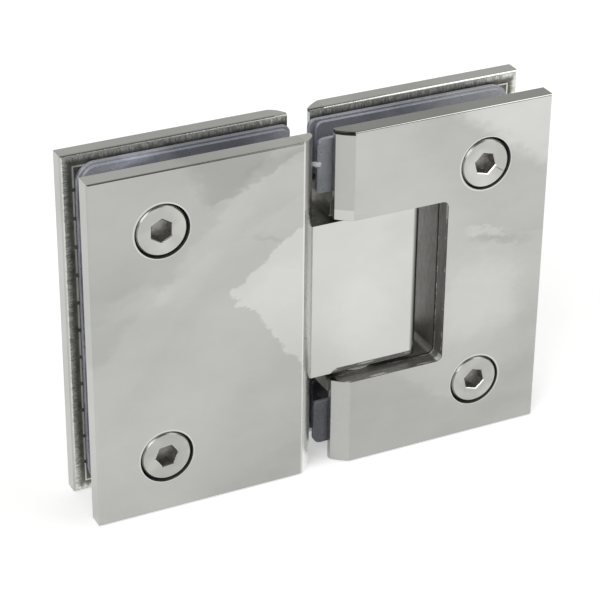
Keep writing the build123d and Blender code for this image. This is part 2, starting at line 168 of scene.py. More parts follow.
def blend_tone(tree, factor, first, second):
    node = tree.nodes.new("ShaderNodeMix")
    node.data_type = "RGBA"
    for name, value in (("Factor", factor), ("A", first), ("B", second)):
        wire(tree, [s for s in node.inputs if s.name == name and s.enabled][0], value)
    return [s for s in node.outputs if s.enabled][0]


def blend_value(tree, factor, first, second):
    node = tree.nodes.new("ShaderNodeMix")
    wire(tree, node.inputs["Factor"], factor)
    wire(tree, node.inputs["A"], first)
    wire(tree, node.inputs["B"], second)
    return node.outputs["Result"]


made = (noise, ramp, spread, blend_tone, blend_value)
print("helpers:", ", ".join(helper.__name__ for helper in made))

# %% [markdown]
# Some marks belong to one place, such as an edge, a bevel or a screw. For these the coordinates
# are taken apart, and a band is 1 between two values and 0 outside them, with soft edges. Fine
# relief, too small to model, is a bump on the shader.

# %% Coordinates, bands and relief
def coordinates(tree, place):
    split = tree.nodes.new("ShaderNodeSeparateXYZ")
    wire(tree, split.inputs["Vector"], place)
    return split.outputs["X"], split.outputs["Y"], split.outputs["Z"]


def between(tree, value, low, high, soft=0.1 * mm):
    rise = ramp(tree, value, low - soft, low)
    fall = ramp(tree, value, high, high + soft, 1.0, 0.0)
    return product(tree, rise, fall)


def relief(tree, shader, height, distance, strength):
    bump = tree.nodes.new("ShaderNodeBump")
    wire(tree, bump.inputs["Distance"], distance)
    wire(tree, bump.inputs["Strength"], strength)
    wire(tree, bump.inputs["Height"], height)
    wire(tree, shader.inputs["Normal"], bump.outputs["Normal"])


made = (coordinates, between, relief)
print("helpers:", ", ".join(helper.__name__ for helper in made))

# %% [markdown]
# The plates are cast, and their outside is ground, polished and plated. Hand polishing on a soft
# wheel never leaves a true mirror: the face has broad shallow hollows. The cloudy sheen on the
# face, with paler and darker patches that have torn edges, is painted reflection of the room. The
# patches could be painted in an image, but that would be a file to carry about and would blur
# close up. Here each patch is a place on the plate, and noise moves its outline about by a few
# millimetres.

# %% Torn outlines
def warped(tree, place, scale, amount):
    torn = noise(tree, place, scale, 6.0, 0.66, (1.0, 1.0, 1.6), "Color")
    centred = tree.nodes.new("ShaderNodeVectorMath")
    centred.operation = "SUBTRACT"
    wire(tree, centred.inputs[0], torn)
    wire(tree, centred.inputs[1], (0.5, 0.5, 0.5))
    shift = tree.nodes.new("ShaderNodeVectorMath")
    shift.operation = "MULTIPLY_ADD"
    wire(tree, shift.inputs[0], centred.outputs["Vector"])
    wire(tree, shift.inputs[1], (amount, amount, amount))
    wire(tree, shift.inputs[2], place)
    return shift.outputs["Vector"]


reflection_tear = 8.5 * mm
print("outlines of patches stray by up to", round(reflection_tear / 2 / mm, 2), "mm")

# %% [markdown]
# A patch has either a round outline or straight sides. A Mapping node of the Texture kind puts
# the round one in place, and the distance from its middle fades it out. A straight side is a
# sloping line, and the patch keeps what lies above the line or below it.

# %% Round and straight-sided patches
def round_patch(tree, place, middle, half_size, softness, tilt):
    mapping = tree.nodes.new("ShaderNodeMapping")
    mapping.vector_type = "TEXTURE"
    wire(tree, mapping.inputs["Location"], (middle[0] * mm, 0.0, middle[1] * mm))
    wire(tree, mapping.inputs["Rotation"], (0.0, math.radians(-tilt), 0.0))
    wire(tree, mapping.inputs["Scale"], (half_size[0] * mm, 1.0, half_size[1] * mm))
    wire(tree, mapping.inputs["Vector"], place)
    length = tree.nodes.new("ShaderNodeVectorMath")
    length.operation = "LENGTH"
    wire(tree, length.inputs[0], mapping.outputs["Vector"])
    return ramp(tree, length.outputs["Value"], 1.0 - softness, 1.0, 1.0, 0.0)


def straight_side(tree, place, start, slope, kept, softness):
    x, _, z = coordinates(tree, place)
    along = product(tree, difference(tree, x, start[0] * mm), slope)
    above = difference(tree, difference(tree, z, start[1] * mm), along)
    return ramp(tree, product(tree, above, kept), -softness * mm, softness * mm)


made = (round_patch, straight_side)
print("helpers:", ", ".join(helper.__name__ for helper in made))

# %% Cloudy painted reflection on the polish
def reflection_cloud(tree, place, level, angular, rounded):
    torn = warped(tree, place, 150, reflection_tear)
    broad = noise(tree, place, 26, 4.0, 0.55, (1.0, 1.0, 1.6))
    cloud = ramp(tree, broad, 0.3, 0.72, level - 0.10, level + 0.10)
    for strength, sides in angular:
        for side in sides:
            strength = product(tree, straight_side(tree, torn, *side), strength)
        cloud = total(tree, cloud, strength)
    for strength, outline in rounded:
        patch = round_patch(tree, torn, *outline)
        cloud = total(tree, cloud, product(tree, patch, strength))
    return cloud


# the cloud and its patches are painted reflection on the plating
print("the polish is a broad cloud with patches added to it")

# %% [markdown]
# The patches are placed in millimetres on the plate. Each starts with its strength, above
# zero for paler and below it for darker. The fixed front plate has a pale wedge that points left,
# with darker cloud above it.

# %% Patches on the front plates
# every patch below is painted reflection, paler or darker
# a side: a point (X, Z) on its line, the slope, what is kept (1 above, -1 below), softness
fixed_angular = (
    (0.40, (((-25.5, 55.0), 0.78, -1, 0.6), ((-25.5, 55.0), -1.24, 1, 0.8))),
    (-0.21, (((-32.0, 77.5), 0.38, 1, 0.5), ((-32.5, 83.0), -2.4, 1, 5.5))),
    (-0.10, (((-55.0, 47.4), 1.05, 1, 3.5),)),
    (-0.07, (((-44.0, 60.0), 0.45, 1, 1.2),)),
    (0.07, (((-55.0, 30.0), 1.30, 1, 3.0), ((-55.0, 47.4), 1.05, -1, 1.4))),
    (-0.16, (((-18.0, 4.0), 0.60, -1, 7.0),)),
)
# a round patch: its middle (X, Z), half sizes, softness, tilt in degrees
fixed_rounded = (
    (0.10, ((-12.0, 54.0), (10.0, 9.0), 0.8, 0.0)),
    (0.14, ((-48.0, 58.5), (13.0, 4.5), 0.7, 10.0)),
    (-0.12, ((-13.0, 86.5), (12.0, 3.0), 0.6, 8.0)),
    (-0.14, ((-15.0, 67.2), (7.0, 1.0), 0.8, -12.0)),
    (0.20, ((-46.0, 12.0), (36.0, 24.0), 0.95, 20.0)),
)
door_angular = (
    (0.34, (((38.0, 87.6), -0.76, 1, 4.0),)),
    (-0.12, (((33.0, 51.5), 0.10, 1, 1.0), ((38.0, 87.6), -0.76, -1, 3.0),
             ((33.0, 70.0), -2.0, 1, 12.0))),
    (-0.14, (((18.3, 23.2), -0.76, -1, 2.0), ((36.8, 9.2), -0.08, 1, 2.0))),
    (-0.14, (((36.8, 9.2), -0.08, -1, 2.0),)),
)
door_rounded = (
    (0.36, ((42.0, 38.0), (23.0, 17.0), 0.8, 0.0)),
    (-0.24, ((58.0, 12.0), (22.0, 12.0), 0.8, 10.0)),
    (0.22, ((44.0, 56.0), (9.0, 1.6), 0.7, -14.0)),
    (-0.16, ((48.0, 53.5), (12.0, 1.8), 0.7, -14.0)),
    (-0.10, ((56.0, 34.0), (6.0, 16.0), 0.8, 10.0)),
)
print("fixed front plate:", len(fixed_angular) + len(fixed_rounded), "patches")
print("door front plate:", len(door_angular) + len(door_rounded), "patches")

# %% Patches on the rear plates
# the rear plates' patches are painted reflection too
fixed_rear_rounded = (
    (0.26, ((-42.0, 62.0), (30.0, 16.0), 0.8, -20.0)),
    (-0.22, ((-15.0, 30.0), (22.0, 26.0), 0.7, 10.0)),
    (0.16, ((-56.0, 14.0), (16.0, 20.0), 0.8, 0.0)),
)
door_rear_rounded = (
    (0.24, ((46.0, 24.0), (22.0, 18.0), 0.8, 15.0)),
    (-0.18, ((30.0, 82.0), (30.0, 12.0), 0.7, -8.0)),
    (0.14, ((56.0, 64.0), (10.0, 16.0), 0.8, 0.0)),
)
print("rear plates:", len(fixed_rear_rounded), "and", len(door_rear_rounded), "patches")

# %% [markdown]
# Most places on the plates come from the boxes that the frame gives: the outer faces, the top,
# and the screws, which stand in the same places on both halves. Only the gap for the glass and
# the radius of a screw head are written down.

# %% Places on the plates
half_gap = 6.0 * mm
head_radius = 6.35 * mm
plate_side, plate_face, plate_top = cad_box[1]
screw_low, screw_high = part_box("fixed_clamp_screws")
head_face = screw_low[1]
screw_out = -(screw_low[0] + screw_high[0]) / 2
screw_up = (screw_high[2] - screw_low[2]) / 2 - head_radius


def edge_margins(tree, x, z):
    from_middle = absolute(tree, difference(tree, z, plate_top / 2))
    to_end = difference(tree, plate_top / 2, from_middle)
    to_side = difference(tree, plate_side, absolute(tree, x))
    return to_end, to_side


def screw_distance(tree, x, z):
    across = difference(tree, absolute(tree, x), screw_out)
    up = difference(tree, absolute(tree, difference(tree, z, plate_top / 2)), screw_up)
    squares = total(tree, product(tree, across, across), product(tree, up, up))
    return sums(tree, "SQRT", squares)


print("screws", round(screw_out / mm, 2), "mm from the seam's middle, on each side")
print("and", round(screw_up / mm, 2), "mm above and below half height")

# %% [markdown]
# Beside the seam each plate has a long bevel, ground last, so it is duller than the face. Its tone
# from the foot to the top is painted reflection, and the crease between the two has a painted
# highlight. Along the top edge a painted reflection makes the plating a little paler or darker
# than the face. The door's bevel has a dark band of painted reflection at its upper end, and is
# paler just above the cut-out.

# %% Bevel and crease
# the plating's tone between these two follows the painted reflection cloud
plating_dark_reflection, plating_pale_reflection = (0.305, 0.307, 0.290), (0.575, 0.577, 0.558)
crease_highlight_tone = (0.74, 0.74, 0.72)


def bevel_reflection_and_crease(tree, place, tone, seam):
    x, y, z = coordinates(tree, place)
    from_seam = absolute(tree, x)
    width = seam["bevel"]
    on_bevel = ramp(tree, from_seam, width - 0.3 * mm, width - 0.1 * mm, 1.0, 0.0)
    # painted reflection: the bevel's tone runs from the foot to the top
    bevel_reflection = blend_tone(tree, ramp(tree, z, 0.0, plate_top), *seam["bevel_reflection"])
    tone = blend_tone(tree, product(tree, on_bevel, 0.8), tone, bevel_reflection)
    # painted highlight along the crease
    crease_highlight = between(tree, from_seam, width - 0.1 * mm, width + 0.2 * mm, 0.2 * mm)
    outermost = ramp(tree, absolute(tree, y), plate_face - 0.4 * mm, plate_face - 0.2 * mm)
    crease_highlight = product(tree, product(tree, crease_highlight, outermost), seam["crease_highlight"])
    return blend_tone(tree, crease_highlight, tone, crease_highlight_tone), on_bevel


print("plating runs from", plating_dark_reflection, "to", plating_pale_reflection)

# %% Top edge, and bands on the bevel
def top_edge_reflection(tree, place, tone, seam):
    _, y, z = coordinates(tree, place)
    strength, edge_reflection_tone = seam["top"]
    # painted reflection along the rounded top edge
    on_top = ramp(tree, z, plate_top - 0.2 * mm, plate_top - 0.1 * mm)
    front = ramp(tree, y, -0.1 * mm, 0.1 * mm, strength, 0.0)
    return blend_tone(tree, product(tree, on_top, front), tone, edge_reflection_tone)


def bevel_bands(tree, place, tone, seam, on_bevel):
    z = coordinates(tree, place)[2]
    for low, high, band_tone in seam["bands"]:
        band = product(tree, on_bevel, between(tree, z, low, high))
        tone = blend_tone(tree, band, tone, band_tone)
    return tone


print("the top edge lies at", round(plate_top / mm, 1), "mm")

# %% [markdown]
# Each front plate has counterbored seats for its screws. The lip of a seat has a thin painted
# highlight. Down in the seat the wheel never reaches, so it is grey. Both are rings, found from the
# distance to the nearest screw.

# %% Screw seats
lip_inside, lip_outside, lip_highlight_tone = 6.90 * mm, 7.12 * mm, (0.80, 0.80, 0.78)
seat_radius, seat_tone = 7.35 * mm, (0.34, 0.335, 0.31)


def seat_lips(tree, place, tone):
    x, y, z = coordinates(tree, place)
    # a thin ring of painted highlight on the lip
    ring = between(tree, screw_distance(tree, x, z), lip_inside, lip_outside)
    on_front = ramp(tree, y, -plate_face + 0.1 * mm, -plate_face + 0.2 * mm, 0.4, 0.0)
    return blend_tone(tree, product(tree, ring, on_front), tone, lip_highlight_tone)


def screw_seats(tree, place):
    x, y, z = coordinates(tree, place)
    radius = screw_distance(tree, x, z)
    near = ramp(tree, radius, seat_radius - 0.05 * mm, seat_radius + 0.05 * mm, 1.0, 0.0)
    sunk = between(tree, y, -plate_face + 0.2 * mm, -half_gap, 0.15 * mm)
    return product(tree, near, sunk)


print("lip of a seat:", round((lip_outside - lip_inside) / mm, 2), "mm wide")

# %% [markdown]
# The inside of the plates, which the panes hide, keeps the skin of the mould, dark and finely
# grained. The wheel runs a little over the edge, so the polish ends there in a torn line, and the
# skin beside it is worn paler in streaks that run across the edge. A fine painted highlight goes
# round the raised pad, for the light that its edge catches.

# %% Cast side of a plate
grain_scale, blotch_scale, streak_scale = 1500, 260, 2600
cast_dark, cast_light = (0.115, 0.116, 0.10), (0.225, 0.222, 0.196)
worn_dark, worn_light = (0.46, 0.46, 0.42), (0.98, 0.98, 0.93)
pad_line, pad_highlight_tone = (2.7 * mm, 3.1 * mm), (0.80, 0.80, 0.75)


def cast_skin(tree, place, blotch):
    x, y, z = coordinates(tree, place)
    depth = absolute(tree, y)
    to_end, to_side = edge_margins(tree, x, z)
    margin = sums(tree, "MINIMUM", to_end, to_side)
    streaks = blend_value(
        tree,
        ramp(tree, difference(tree, to_side, to_end), -0.5 * mm, 0.5 * mm),
        noise(tree, place, streak_scale, 3.0, 0.7, (0.3, 1.0, 1.0)),
        noise(tree, place, streak_scale, 3.0, 0.7, (1.0, 1.0, 0.3)),
    )
    torn = difference(tree, margin, product(tree, streaks, 1.2 * mm))
    dull = blend_tone(tree, spread(tree, blotch), cast_dark, cast_light)
    worn = blend_tone(tree, spread(tree, streaks), worn_dark, worn_light)
    skin = blend_tone(tree, ramp(tree, torn, 0.0, 1.6 * mm, 1.0, 0.0), dull, worn)
    on_pad = ramp(tree, depth, half_gap - 0.2 * mm, half_gap - 0.1 * mm, 0.9, 0.0)
    # painted highlight round the pad's edge
    pad_highlight = product(tree, between(tree, margin, *pad_line), on_pad)
    skin = blend_tone(tree, pad_highlight, skin, pad_highlight_tone)
    inside = ramp(tree, depth, half_gap + 0.02 * mm, half_gap + 0.2 * mm, 1.0, 0.0)
    return skin, product(tree, inside, ramp(tree, torn, -0.8 * mm, 0.2 * mm))


print("inner faces", round(2 * half_gap / mm, 1), "mm apart keep their cast skin")

# %% [markdown]
# The walls of the door half's cut-out are only filed, with upright strokes, and stay grey. The
# file leaves burrs along their edges, and the light that they catch is painted on as pale specks. A
# painted highlight sits in the lower inner corner.

# %% Filed walls
opening_start, opening_reach, opening_low, opening_top = 4.5, 32.45, 22.9, 67.1
stroke_scale = 1100
filed_front = (0.22, 0.216, 0.204), (0.31, 0.304, 0.289)
filed_rear = (0.14, 0.136, 0.128), (0.20, 0.196, 0.185)


def filed_walls(tree, place):
    x, y, z = coordinates(tree, place)
    mouth = product(
        tree,
        between(tree, x, opening_start * mm, opening_reach * mm),
        between(tree, z, opening_low * mm, opening_top * mm),
    )
    strokes = spread(tree, noise(tree, place, stroke_scale, 4.0, 0.7, (1.0, 1.0, 0.25)))
    tone = blend_tone(
        tree,
        ramp(tree, y, -half_gap, half_gap),
        blend_tone(tree, strokes, *filed_front),
        blend_tone(tree, strokes, *filed_rear),
    )
    return mouth, tone


print("the cut-out's inner wall is", round(opening_top - opening_low, 1), "mm high")

# %% Burrs with painted glints, and the corner highlight
burr_glint_tone = (0.80, 0.80, 0.77)
corner_highlight_outline = (opening_reach - 0.6, opening_low + 0.6), (1.2, 0.8), 0.4, 35.0
corner_highlight_tone = (0.93, 0.93, 0.91)


def burr_glints(tree, depth, blotch, mouth):
    # pale specks of painted glint along the edges
    lines = sums(
        tree,
        "MAXIMUM",
        between(tree, depth, half_gap - 0.2 * mm, half_gap + 0.3 * mm),
        between(tree, depth, plate_face - 0.9 * mm, plate_face - 0.4 * mm),
    )
    return product(tree, product(tree, lines, ramp(tree, blotch, 0.50, 0.58)), mouth)


def cut_out(tree, place, skin, blotch):
    y = coordinates(tree, place)[1]
    depth = absolute(tree, y)
    mouth, filed_tone = filed_walls(tree, place)
    behind_face = ramp(tree, depth, plate_face - 0.3 * mm, plate_face - 0.2 * mm, 1.0, 0.0)
    filed = product(tree, mouth, behind_face)
    skin = blend_tone(tree, filed, skin, filed_tone)
    skin = blend_tone(tree, burr_glints(tree, depth, blotch, mouth), skin, burr_glint_tone)
    # painted highlight in the lower inner corner
    corner_highlight = round_patch(tree, place, *corner_highlight_outline)
    near_front = ramp(tree, y, -plate_face + 1.2 * mm, -plate_face + 2.4 * mm, 1.0, 0.0)
    return blend_tone(tree, product(tree, corner_highlight, near_front), skin, corner_highlight_tone), filed


print("nick at", tuple(round(v, 1) for v in corner_highlight_outline[0]), "mm")

# %% [markdown]
# The polished and the cast finish are on one solid, so one material holds both, and a mask that
# follows the inner faces chooses between them. The mask drives the tone, the metal, the roughness
# and the relief together, or else the border between the two would look painted on.

# %% Tones of a plate
def plate_tones(tree, place, blotch, patches, seam):
    mirror = blend_tone(tree, reflection_cloud(tree, place, *patches), plating_dark_reflection, plating_pale_reflection)
    mirror, on_bevel = bevel_reflection_and_crease(tree, place, mirror, seam)
    mirror = top_edge_reflection(tree, place, mirror, seam)
    mirror = bevel_bands(tree, place, mirror, seam, on_bevel)
    mirror = seat_lips(tree, place, mirror)
    skin, cast = cast_skin(tree, place, blotch)
    if seam["opening"]:
        skin, filed = cut_out(tree, place, skin, blotch)
        cast = sums(tree, "MAXIMUM", cast, filed)
    seats = screw_seats(tree, place)
    skin = blend_tone(tree, seats, skin, seat_tone)
    cast = sums(tree, "MAXIMUM", cast, seats)
    return blend_tone(tree, cast, mirror, skin), cast, on_bevel


print("polished, cast, filed and seat tones share one mask")

# %% Plate finish
mirror_haze, bevel_haze = (0.06, 0.10), 0.20
cast_rough, cast_metallic = (0.38, 0.52), 0.86
hollow_share, pit_share = 0.35, 0.25
relief_depth = 0.22 * mm


def plate_finish(name, patches, seam):
    finish, tree, shader, texture = start_finish(name)
    place = texture.outputs["Object"]
    grain = noise(tree, place, grain_scale, 4.0, 0.65)
    blotch = noise(tree, place, blotch_scale, 4.0, 0.65)
    tone, cast, on_bevel = plate_tones(tree, place, blotch, patches, seam)
    wire(tree, shader.inputs["Base Color"], tone)
    wire(tree, shader.inputs["Metallic"], ramp(tree, cast, 0.0, 1.0, 1.0, cast_metallic))
    haze = ramp(tree, noise(tree, place, 60, 3.0), 0.3, 0.8, *mirror_haze)
    haze = total(tree, haze, product(tree, on_bevel, bevel_haze))
    rough = spread(tree, grain, *cast_rough)
    wire(tree, shader.inputs["Roughness"], blend_value(tree, cast, haze, rough))
    hollows = product(tree, noise(tree, place, 30, 1.0), hollow_share)
    pits = product(tree, total(tree, grain, blotch), product(tree, cast, pit_share))
    relief(tree, shader, total(tree, hollows, pits), relief_depth, 0.5)
    return finish


print("relief of", round(relief_depth / mm, 2), "mm in hollows and pits")

# %% [markdown]
# The two halves differ beside the seam. Each has its bevel's width, the bevel's painted reflection
# at the foot and at the top, the painted highlight on the crease, the strength and tone of the
# painted reflection along the top edge, the bands across the bevel, and whether there is a cut-out.
# Every plate also has its own level of painted reflection and its own patches.

# %% Finish the four plates
seam_side = {
    "fixed": {
        "bevel": 6.3 * mm,
        # painted reflection on the bevel, at the foot and at the top
        "bevel_reflection": ((0.97, 0.97, 0.95), (0.46, 0.46, 0.44)),
        # painted highlight on the crease
        "crease_highlight": 0.55,
        # a faint painted highlight along the top edge
        "top": (0.15, (0.90, 0.90, 0.87)),
        "bands": (),
        "opening": False,
    },
    "door": {
        "bevel": 7.0 * mm,
        # painted reflection on the bevel, at the foot and at the top
        "bevel_reflection": ((0.46, 0.46, 0.44), (0.41, 0.41, 0.39)),
        "crease_highlight": 0.0,
        # a dark painted reflection along the top edge
        "top": (0.72, (0.20, 0.20, 0.19)),
        "bands": (
            # a dark band of painted reflection at the top of the bevel, then the paler band above
            # the cut-out
            (plate_top - 0.9 * mm, plate_top - 0.15 * mm, (0.02, 0.02, 0.018)),
            (opening_top * mm, (opening_top + 2.6) * mm, (0.53, 0.53, 0.51)),
        ),
        "opening": True,
    },
}
for half, face, *patches in (
    ("fixed", "front", 0.49, fixed_angular, fixed_rounded),
    ("fixed", "rear", 0.46, (), fixed_rear_rounded),
    ("door", "front", 0.50, door_angular, door_rounded),
    ("door", "rear", 0.50, (), door_rear_rounded),
):
    polish = plate_finish(half + "_" + face + "_polish", patches, seam_side[half])
    finish_nodes(polish, half + "_" + face + "_plate")

# %% [markdown]
# The pivot block is polished on its front and back, and brightest of all, because those faces are
# ground flat. Their cloudy patches are painted reflection, as on the plates. Its right-hand edge is
# broken with a file to a narrow chamfer, which is not modelled, and a band of painted shade stands
# for it, since it faces away from the light. Its top, its bottom, its right-hand side and the
# tongue between the fixed plates are left as cast. As on the plates, the distance from the middle
# of the glass tells polish from cast skin.

# %% Pivot block finish
block_low, block_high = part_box("pivot_block")
block_dark_reflection, block_pale_reflection = (0.44, 0.44, 0.425), (0.66, 0.66, 0.642)
block_cast_dark, block_cast_light = (0.12, 0.12, 0.105), (0.31, 0.31, 0.28)
block_haze, block_cast_rough = 0.075, (0.42, 0.60)
edge_chamfer_shade_tone = (0.12, 0.12, 0.112)
block_rounded = (
    (0.26, ((11.0, 40.0), (14.0, 19.0), 0.9, 0.0)),
    (-0.16, ((1.0, 26.0), (12.0, 10.0), 0.8, 0.0)),
    (-0.18, ((23.0, 60.0), (10.0, 9.0), 0.9, 0.0)),
)


def block_finish():
    finish, tree, shader, texture = start_finish("pivot_block_polish")
    place = texture.outputs["Object"]
    x, y, _ = coordinates(tree, place)
    depth = absolute(tree, y)
    polished = ramp(tree, depth, block_high[1] - 0.6 * mm, block_high[1] - 0.1 * mm)
    # painted reflection cloud on the polished faces
    cloud = reflection_cloud(tree, place, 0.50, (), block_rounded)
    mirror = blend_tone(tree, cloud, block_dark_reflection, block_pale_reflection)
    # painted shade along the right-hand edge, for the chamfer
    edge_chamfer_shade = ramp(tree, x, block_high[0] - 2.1 * mm, block_high[0] - 1.1 * mm)
    mirror = blend_tone(tree, edge_chamfer_shade, mirror, edge_chamfer_shade_tone)
    grain = noise(tree, place, grain_scale, 4.0, 0.65)
    blotch = noise(tree, place, blotch_scale, 4.0, 0.6)
    skin = blend_tone(tree, spread(tree, blotch), block_cast_dark, block_cast_light)
    wire(tree, shader.inputs["Base Color"], blend_tone(tree, polished, skin, mirror))
    wire(tree, shader.inputs["Metallic"], 1.0)
    rough = spread(tree, grain, *block_cast_rough)
    wire(tree, shader.inputs["Roughness"], blend_value(tree, polished, rough, block_haze))
    pits = product(tree, total(tree, grain, blotch), 0.3)
    hollows = product(tree, noise(tree, place, 40, 1.0), 0.3)
    relief(tree, shader, blend_value(tree, polished, pits, hollows), relief_depth, 0.5)
    return finish


finish_nodes(block_finish(), "pivot_block")
print("block:", [round((high - low) / mm, 1) for low, high in zip(block_low, block_high)], "mm")

# %% [markdown]
# The screw heads are turned, then plated like the plates. Turning leaves fine rings round each
# head's own middle. The chamfer at the rim and the flank below it carry a dark ring of painted
# shade. Rings a quarter of a millimetre apart would take a great many faces to model, so they are
# relief in the shader. Down in the hexagon the metal is darker and rougher. One head on the door
# half is scratched from hexagon to rim.

# %% Tone of a screw
head_dark, head_light = (0.40, 0.40, 0.38), (0.53, 0.53, 0.505)
socket_dark, socket_light = (0.28, 0.272, 0.25), (0.40, 0.392, 0.366)
rim_chamfer_shade_tone, flank_shade_tone = (0.25, 0.25, 0.235), (0.26, 0.255, 0.235)
scratch_outline, scratch_tone = ((46.2, 72.9), (1.9, 0.18), 0.6, -34.0), (0.16, 0.16, 0.15)


def screw_tone(tree, place, radius, below_face):
    cloud = ramp(tree, noise(tree, place, 130, 2.0), 0.3, 0.75)
    tone = blend_tone(tree, cloud, head_dark, head_light)
    # a dark ring of painted shade on the chamfer
    rim_chamfer_shade = ramp(tree, radius, head_radius - 0.42 * mm, head_radius - 0.32 * mm)
    tone = blend_tone(tree, rim_chamfer_shade, tone, rim_chamfer_shade_tone)
    scratch = round_patch(tree, place, *scratch_outline)
    tone = blend_tone(tree, scratch, tone, scratch_tone)
    # darker and rougher down in the hexagon
    socket_mottle = spread(tree, noise(tree, place, 900, 3.0))
    socket_tone = blend_tone(tree, socket_mottle, socket_dark, socket_light)
    # painted shade on the head's flank
    flank = ramp(tree, radius, head_radius - 0.2 * mm, head_radius - 0.1 * mm)
    socket = product(tree, below_face, difference(tree, 1.0, flank))
    tone = blend_tone(tree, socket, tone, socket_tone)
    return blend_tone(tree, product(tree, below_face, flank), tone, flank_shade_tone)


print("screw heads are", round(2 * head_radius / mm, 1), "mm across")

# %% Screw finish
ring_waves = 26000.0
face_haze, chamfer_rough, socket_rough = 0.10, 0.32, 0.46


def screw_finish():
    finish, tree, shader, texture = start_finish("plated_screw")
    place = texture.outputs["Object"]
    x, y, z = coordinates(tree, place)
    radius = screw_distance(tree, x, z)
    below_face = ramp(tree, y, head_face + 0.3 * mm, head_face + 0.6 * mm)
    wire(tree, shader.inputs["Base Color"], screw_tone(tree, place, radius, below_face))
    wire(tree, shader.inputs["Metallic"], 1.0)
    rim = ramp(tree, radius, head_radius - 0.5 * mm, head_radius - 0.4 * mm)
    turned = blend_value(tree, rim, face_haze, chamfer_rough)
    wire(tree, shader.inputs["Roughness"], blend_value(tree, below_face, turned, socket_rough))
    rings = sums(tree, "SINE", product(tree, radius, ring_waves))
    fine = noise(tree, place, 1400, 2.0)
    relief(tree, shader, total(tree, product(tree, rings, 0.2), fine), 0.01 * mm, 0.3)
    return finish


finish_nodes(screw_finish(), "fixed_clamp_screws", "door_clamp_screws")
print("turning rings every", round(2 * math.pi / ring_waves / mm, 2), "mm")

# %% [markdown]
# The gaskets are soft clear plastic with a blue cast, lying on dark metal, so their faces look
# slate grey. Light that enters a face leaves at the cut edges, so these are painted paler, and the
# upright edges, in shade between the plates, are painted darker. Wholly clear sheets would need
# deep light paths and still look grainy, so they are a third clear, and the rest is in the tone. An
# edge is found from the surface's own direction: the faces look straight forward or back, the cut
# edges look sideways.

# %% Gasket tones
rim_dark, rim_light = (0.32, 0.33, 0.38), (0.48, 0.49, 0.55)
rim_upright_shade = (0.20, 0.205, 0.26)
low_tone, outer_light_tone, seam_shadow_tone = (0.07, 0.073, 0.09), (0.62, 0.63, 0.65), (0.13, 0.135, 0.16)
# a painted highlight streak on the gaskets near the top left of the fixed half
gasket_highlight_outline = (-44.0, 86.8), (9.0, 1.6), 0.9, 8.0
face_highlight_tone, rim_highlight_tone = (0.62, 0.66, 0.76), (0.70, 0.73, 0.80)
gasket_rough = (0.22, 0.34)


def gasket_face(tree, place, milk, dark, light, low_shade):
    x, _, z = coordinates(tree, place)
    face = blend_tone(tree, milk, dark, light)
    low = ramp(tree, z, 10 * mm, 40 * mm, low_shade, 0.0)
    face = blend_tone(tree, low, face, low_tone)
    # painted light, paler towards the outer end of the door half, and painted shadow beside the
    # seam
    outer_light = ramp(tree, x, 26 * mm, 54 * mm, 0.0, 0.75)
    face = blend_tone(tree, outer_light, face, outer_light_tone)
    seam_shadow = product(
        tree, ramp(tree, x, 0.0, 4 * mm), ramp(tree, x, 14 * mm, 30 * mm, 0.5, 0.0)
    )
    return blend_tone(tree, seam_shadow, face, seam_shadow_tone)


print("gasket rims run from", rim_dark, "to", rim_light)

# %% Gasket finish
def gasket_finish(name, dark, light, low_shade):
    finish, tree, shader, texture = start_finish(name)
    place = texture.outputs["Object"]
    along, side, _ = coordinates(tree, texture.outputs["Normal"])
    edge = ramp(tree, absolute(tree, side), 0.55, 0.95, 1.0, 0.0)
    upright = ramp(tree, absolute(tree, along), 0.6, 0.95)
    milk = ramp(tree, noise(tree, place, 45, 3.0, 0.6, (1.0, 1.0, 2.2)), 0.32, 0.7)
    face = gasket_face(tree, place, milk, dark, light, low_shade)
    rim = blend_tone(tree, milk, rim_dark, rim_light)
    # painted shade on the upright edges
    rim = blend_tone(tree, upright, rim, rim_upright_shade)
    # painted highlight
    gasket_highlight = round_patch(tree, warped(tree, place, 90, 4 * mm), *gasket_highlight_outline)
    face = blend_tone(tree, gasket_highlight, face, face_highlight_tone)
    rim = blend_tone(tree, gasket_highlight, rim, rim_highlight_tone)
    wire(tree, shader.inputs["Base Color"], blend_tone(tree, edge, face, rim))
    wire(tree, shader.inputs["Transmission Weight"], 0.3)
    wire(tree, shader.inputs["IOR"], 1.42)
    rough = spread(tree, noise(tree, place, 300, 2.0), *gasket_rough)
    wire(tree, shader.inputs["Roughness"], rough)
    relief(tree, shader, noise(tree, place, 260, 2.0), 0.04 * mm, 0.3)
    return finish


front_plastic = gasket_finish(
    "clear_gasket_front", (0.24, 0.257, 0.278), (0.355, 0.377, 0.403), low_shade=0.75
)
rear_plastic = gasket_finish(
    "clear_gasket_rear", (0.205, 0.215, 0.25), (0.46, 0.475, 0.525), low_shade=0.0
)
finish_nodes(front_plastic, "fixed_front_gasket", "door_front_gasket")
finish_nodes(
    rear_plastic, "fixed_rear_gasket", "fixed_shim_gasket", "door_rear_gasket", "door_shim_gasket"
)

# %% [markdown]
# Inside are plain working metals: ground steel for the pin and the follower, oiled wire for the
# springs, sintered bronze for the bushes, and matt plastic for the thrust washers. They show only
# when the hinge is taken apart, so one helper makes them all, and each gets its own grain.

# %% Helper for working metals
def working_finish(name, dark, light, metallic, rough, scale, height, stretch=(1, 1, 1)):
    finish, tree, shader, texture = start_finish(name)
    grain = noise(tree, texture.outputs["Object"], scale, 3.0, 0.6, stretch)
    tone = blend_tone(tree, spread(tree, grain), dark, light)
    wire(tree, shader.inputs["Base Color"], tone)
    wire(tree, shader.inputs["Metallic"], metallic)
    rough = ramp(tree, grain, 0.2, 0.8, rough - 0.06, rough + 0.08)
    wire(tree, shader.inputs["Roughness"], rough)
    relief(tree, shader, grain, height, 0.5)
    return finish


